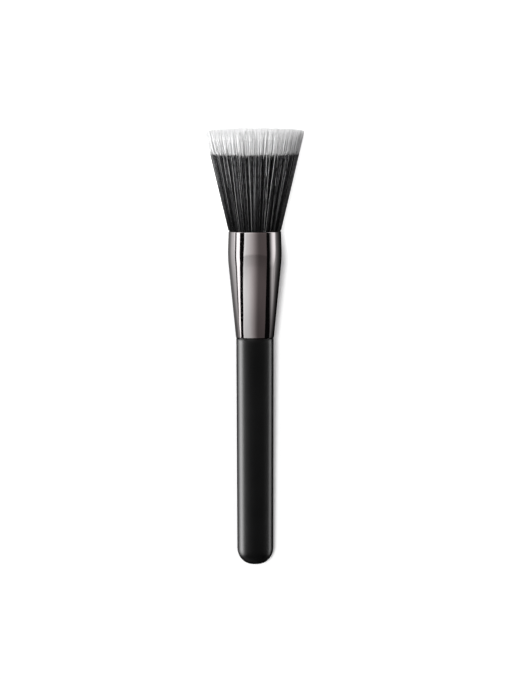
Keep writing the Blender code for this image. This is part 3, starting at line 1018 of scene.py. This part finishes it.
def add_sun(name, strength, spread, azimuth, elevation):
    """A soft sun lamp, as LAMPS gives it. Reflections don't see it."""
    lamp = bpy.data.lights.new(name, "SUN")
    lamp.energy = strength
    lamp.angle = radians(spread)
    made = add_to_stage(lamp)
    made.rotation_euler = (0, radians(90 - elevation), radians(180 - azimuth))
    made.visible_glossy = False
    return made


def light_only(name, light, *lit):
    """A light or reflector that lights only the objects given. Returns the collection that says so."""
    receivers = bpy.data.collections.new(name)
    for thing in lit:
        receivers.objects.link(thing)
    light.light_linking.receiver_collection = receivers
    return receivers


def light_all_but(name, light, *unlit):
    """A light that lights all but the objects given."""
    for member in light_only(name, light, *unlit).collection_objects:
        member.light_linking.link_state = "EXCLUDE"


def seen_directly(tree):
    """1 for what the camera sees straight, in a mirror or through glass, and 0 for light on things."""
    path = add(tree, "LightPath")
    mirrored = calculate(tree, "MAXIMUM", path.outputs["Is Camera Ray"], path.outputs["Is Glossy Ray"])
    return calculate(tree, "MAXIMUM", mirrored, path.outputs["Is Transmission Ray"])


def make_world(studio):
    """A white surround, which lights the object less than it shows."""
    world = bpy.data.worlds.new("white_surround")
    bpy.context.scene.world = world
    world.use_nodes = True
    tree = world.node_tree
    strength = remap(tree, seen_directly(tree), 0, 1, studio.surround, 1)
    inputs = {"Color": (1, 1, 1, 1), "Strength": strength}
    set_inputs(tree, tree.nodes["Background"], inputs)


def table_finish(studio):
    """White table: it keeps the shadow, and its own light keeps it white; that light, painted stronger
    beside the head, washes out the head's shadow there.
    """
    made, tree = bare_material("white_table")
    diffuse = add(tree, "BsdfDiffuse", {"Color": rgba(studio.table)})
    coordinates = add(tree, "TexCoord").outputs["Object"]
    along = add(tree, "SeparateXYZ", {"Vector": coordinates}).outputs["Y"]
    # Painted light: the table's own glow rises beside the head and washes out the head's shadow
    own = remap(tree, along, 30 * MM, 50 * MM, 0.2, 0.75, "SMOOTHSTEP")
    strength = product(tree, seen_directly(tree), own)
    emission = add(tree, "Emission", {"Strength": strength})
    both = add(tree, "AddShader", {0: diffuse.outputs[0], 1: emission.outputs[0]})
    add(tree, "OutputMaterial", {"Surface": both.outputs[0]})
    return made


def make_table(studio):
    """A wide flat table at z = 0."""
    half = 4
    corners = np.array(((-half, -half, 0), (half, -half, 0), (half, half, 0), (-half, half, 0)))
    mesh = triangle_mesh("table", corners, np.array(((0, 1, 2), (0, 2, 3))))
    mesh.materials.append(table_finish(studio))
    return add_to_stage(mesh)


def make_camera(studio):
    """A camera straight above the brush, with the head at the top of the picture."""
    camera = bpy.data.cameras.new("camera")
    camera.sensor_width = 36
    camera.lens = studio.lens
    camera.clip_start, camera.clip_end = 0.1, 20
    made = put(camera)
    made.location = (studio.camera_side, studio.camera_along, studio.camera_height)
    made.rotation_euler = (0, 0, studio.camera_roll)
    bpy.context.scene.camera = made


def hang_lamps(table):
    """The lamps. The table has one of its own, and the white fibres have two for themselves."""
    lamps = {name: add_sun(name, *values) for name, values in LAMPS.items()}
    white_fibres = [bpy.data.objects[f"white_fibres_{n + 1}"] for n in range(len(WHITE_SEEDS))]
    light_only("lit_table", lamps["table_light"], table)
    light_all_but("lit_by_key", lamps["key_light"], table)
    light_all_but("lit_by_side", lamps["side_light"], table)
    light_only("lit_tips", lamps["tip_light"], *white_fibres)
    light_only("lit_front", lamps["front_light"], *white_fibres)


def hang_cards(places):
    """The reflectors: a tent round the brush, two on the table, a flag at the butt, and the sleeve."""
    black = glow("black_flag", FLAG_GLOW)
    finishes = {name: glow(f"{name}_light", *factors) for name, factors in CARD_GLOWS.items()}
    tint_overhead(finishes["overhead_card"])
    for name, edges in zip(TENT_CARDS, zip(CARD_EDGES, CARD_EDGES[1:])):
        add_card(card_mesh(name, edges, places), finishes.get(name, black))
    for name, sizes in FLOOR_CARDS.items():
        mesh = floor_card_mesh(name, *(size * MM for size in sizes))
        add_card(mesh, finishes.get(name, black))
    sleeve = add_card(sleeve_mesh("handle_sleeve", places), finishes["handle_sleeve"])
    light_only("sleeve_handle", sleeve, bpy.data.objects["lacquered_handle"])


# Operators


class BRUSH_OT_handle(bpy.types.Operator):
    """Turn the handle and lacquer it"""

    bl_idname = "brush.handle"
    bl_label = "Handle"

    def execute(self, context):
        places = Places(context)
        lacquer = finished("satin_black_lacquer", lacquer_look, places.handle)
        add_piece(handle_mesh(places), lacquer, "handle")
        return {"FINISHED"}


class BRUSH_OT_ferrule(bpy.types.Operator):
    """Draw the ferrule and polish it"""

    bl_idname = "brush.ferrule"
    bl_label = "Ferrule"

    def execute(self, context):
        places = Places(context)
        gunmetal = finished("polished_gunmetal", gunmetal_look, places.ferrule)
        add_piece(ferrule_mesh(places), gunmetal, "ferrule")
        return {"FINISHED"}


class BRUSH_OT_knot(bpy.types.Operator):
    """Cast the two slices that hold the fibre roots, and finish the hidden glue, resin and thread"""

    bl_idname = "brush.knot"
    bl_label = "Knot"

    def execute(self, context):
        places = Places(context)
        resin, glue, plug = (finished(name, cast_look, *values) for name, values in CASTS.items())
        top, base = places.dark_slice_z, places.dark_slice_z - places.head.dark_slice
        radius = places.fit_radius(base)
        mesh = slice_mesh("dark_root_slice", base, top, radius, places.fit_radius(top))
        add_piece(mesh, resin, "dark_fibres")

        # The white slice leaves room for the thread that is wound round it
        radius -= 0.3 * MM
        top, base = places.white_slice_z, places.white_slice_z - places.head.white_slice
        mesh = slice_mesh("white_root_slice", base, top, radius, radius)
        add_piece(mesh, resin, "white_fibres")

        finishes = {"glue_ring": glue, "glue_collar": glue, "resin_plug": plug}
        finishes["knot_thread"] = finished("waxed_thread", thread_look)
        for node, finish in finishes.items():
            mesh = frame["nodes"][node].data
            mesh.materials.clear()
            mesh.materials.append(finish)
        return {"FINISHED"}


class BRUSH_OT_dark_fibres(bpy.types.Operator):
    """Set the short dark fibres"""

    bl_idname = "brush.dark_fibres"
    bl_label = "Dark fibres"

    def execute(self, context):
        places = Places(context)
        dark = places.head.dark
        locks = Locks(places.head.dark_locks, np.random.default_rng(DARK_LOCK_SEED))
        # Painted light: the pale colour is painted glints, and the root colour is painted shade towards
        # the mouth
        colours = rgba(dark, 0.1), rgba(dark, 0.3), rgba(dark, 25)
        finish = finished("dark_fibre_dye_and_painted_light", fibre_look, *colours, 1.2, 0.8, 0.42, 0.06)
        add_fibres("dark", dark_fibre_mesh, DARK_SEEDS, places, locks, finish)
        return {"FINISHED"}


class BRUSH_OT_white_fibres(bpy.types.Operator):
    """Set the long white fibres, and the few that show among the dark ones"""

    bl_idname = "brush.white_fibres"
    bl_label = "White fibres"

    def execute(self, context):
        places = Places(context)
        white = places.head.white
        locks = Locks(places.head.white_locks, np.random.default_rng(WHITE_LOCK_SEED))
        # Painted shade: the white fibres darken towards their roots, and deep locks stand for shade
        # between the locks
        painted_root_shade = rgba(white, 0.03)
        colours = painted_root_shade, rgba(white, 0.2), rgba(white, 0.93)
        finish = finished("white_fibre_dye_and_painted_shade", fibre_look, *colours, 0.75, 0.05, 0.55, 0.15)
        add_fibres("white", white_fibre_mesh, WHITE_SEEDS, places, locks, finish)
        # The streaks darken towards their roots as painted shade among the dark fibres
        colours = painted_root_shade, rgba(white, 0.4), rgba(white, 1.05)
        finish = finished("white_streak_dye_and_painted_shade", fibre_look, *colours, 0.95, 0.4, 0.4, 0.4)
        mesh = streak_mesh("white_streaks", places, np.random.default_rng(STREAK_SEED))
        add_piece(mesh, finish, "white_fibres")
        return {"FINISHED"}


class BRUSH_OT_stage(bpy.types.Operator):
    """Lay the table, hang the lights and reflectors, and place the camera"""

    bl_idname = "brush.stage"
    bl_label = "Stage"

    def execute(self, context):
        places = Places(context)
        context.scene.view_settings.view_transform = "Standard"
        make_world(places.studio)
        make_camera(places.studio)
        hang_lamps(make_table(places.studio))
        hang_cards(places)
        return {"FINISHED"}


OPERATORS = (
    BRUSH_OT_handle,
    BRUSH_OT_ferrule,
    BRUSH_OT_knot,
    BRUSH_OT_dark_fibres,
    BRUSH_OT_white_fibres,
    BRUSH_OT_stage,
)


class BRUSH_PT_pieces(bpy.types.Panel):
    """Lists the brush's operators"""

    bl_idname = "BRUSH_PT_pieces"
    bl_label = "Stippling Brush"
    bl_space_type = "VIEW_3D"
    bl_region_type = "UI"
    bl_category = "Brush"

    def draw(self, context):
        for operator in OPERATORS:
            self.layout.operator(operator.bl_idname)


GROUPS = (HandleSettings, FerruleSettings, HeadSettings, StudioSettings, BrushSettings)
CLASSES = (*GROUPS, *OPERATORS, BRUSH_PT_pieces)


def register():
    for each in CLASSES:
        bpy.utils.register_class(each)
    bpy.types.Scene.stippling_brush = PointerProperty(type=BrushSettings)


def unregister():
    del bpy.types.Scene.stippling_brush
    for each in reversed(CLASSES):
        bpy.utils.unregister_class(each)


def main():
    register()
    bpy.ops.brush.handle()
    bpy.ops.brush.ferrule()
    bpy.ops.brush.knot()
    bpy.ops.brush.dark_fibres()
    bpy.ops.brush.white_fibres()
    bpy.ops.brush.stage()


if __name__ == "__main__":
    main()
